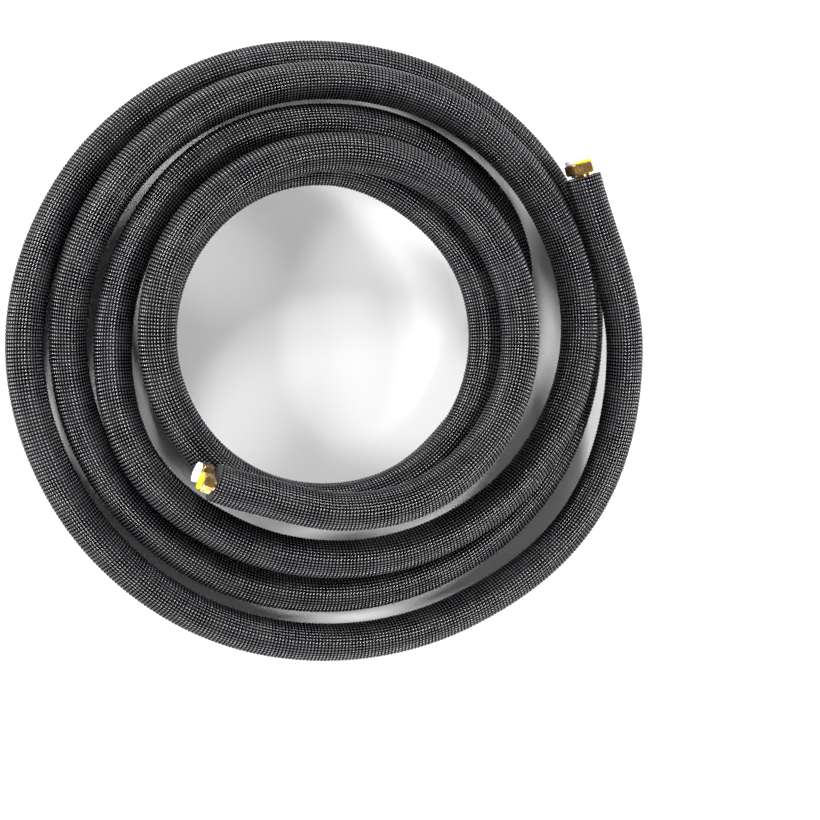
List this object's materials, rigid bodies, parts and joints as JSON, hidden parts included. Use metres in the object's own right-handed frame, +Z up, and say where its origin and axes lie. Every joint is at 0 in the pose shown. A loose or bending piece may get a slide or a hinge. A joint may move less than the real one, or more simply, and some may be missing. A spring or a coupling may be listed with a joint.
{
  "type": "mini split line set",
  "caption": "Coiled pair of soft copper refrigerant tubes in one black embossed foam sleeve, with brass flare nuts and plastic end caps.",
  "frame": {"origin": "on the floor, under the middle of the coil's bounding box", "axes": "+Z up along the coil's axis, +X towards the lap with the outer tube end, +Y towards the top of the coil as first seen"},
  "size_m": [0.651, 0.621, 0.1197],
  "materials": {
    "insulation": "embossed black film over closed-cell foam",
    "copper": "drawn copper tube",
    "brass": "forged and turned brass",
    "white_cap": "moulded polyethylene",
    "yellow_cap": "moulded polyethylene"
  },
  "bodies": {
    "coil": {"insulated_sleeve": "insulation", "suction_tube": "copper", "liquid_tube": "copper"},
    "suction_nut_at_inner_end": {"suction_nut_inner": "brass", "suction_cap_inner": "white_cap"},
    "suction_nut_at_outer_end": {"suction_nut_outer": "brass", "suction_cap_outer": "white_cap"},
    "liquid_nut_at_inner_end": {"liquid_nut_inner": "brass", "liquid_cap_inner": "yellow_cap"},
    "liquid_nut_at_outer_end": {"liquid_nut_outer": "brass", "liquid_cap_outer": "yellow_cap"}
  },
  "joints": [
    {"name": "suction_nut_inner_spin", "type": "hinge", "parent": "coil", "child": "suction_nut_at_inner_end", "pos_m": [-0.13649, -0.12524, 0.08888], "axis": [-0.9331, 0.3597, 0], "continuous": true},
    {"name": "suction_nut_outer_spin", "type": "hinge", "parent": "coil", "child": "suction_nut_at_outer_end", "pos_m": [0.25779, 0.17752, 0.04909], "axis": [-0.291, 0.9565, 0.0207], "continuous": true},
    {"name": "liquid_nut_inner_spin", "type": "hinge", "parent": "coil", "child": "liquid_nut_at_inner_end", "pos_m": [-0.13932, -0.13258, 0.11051], "axis": [-0.9331, 0.3597, 0], "continuous": true},
    {"name": "liquid_nut_outer_spin", "type": "hinge", "parent": "coil", "child": "liquid_nut_at_outer_end", "pos_m": [0.25793, 0.17707, 0.0721], "axis": [-0.291, 0.9565, 0.0207], "continuous": true}
  ]
}
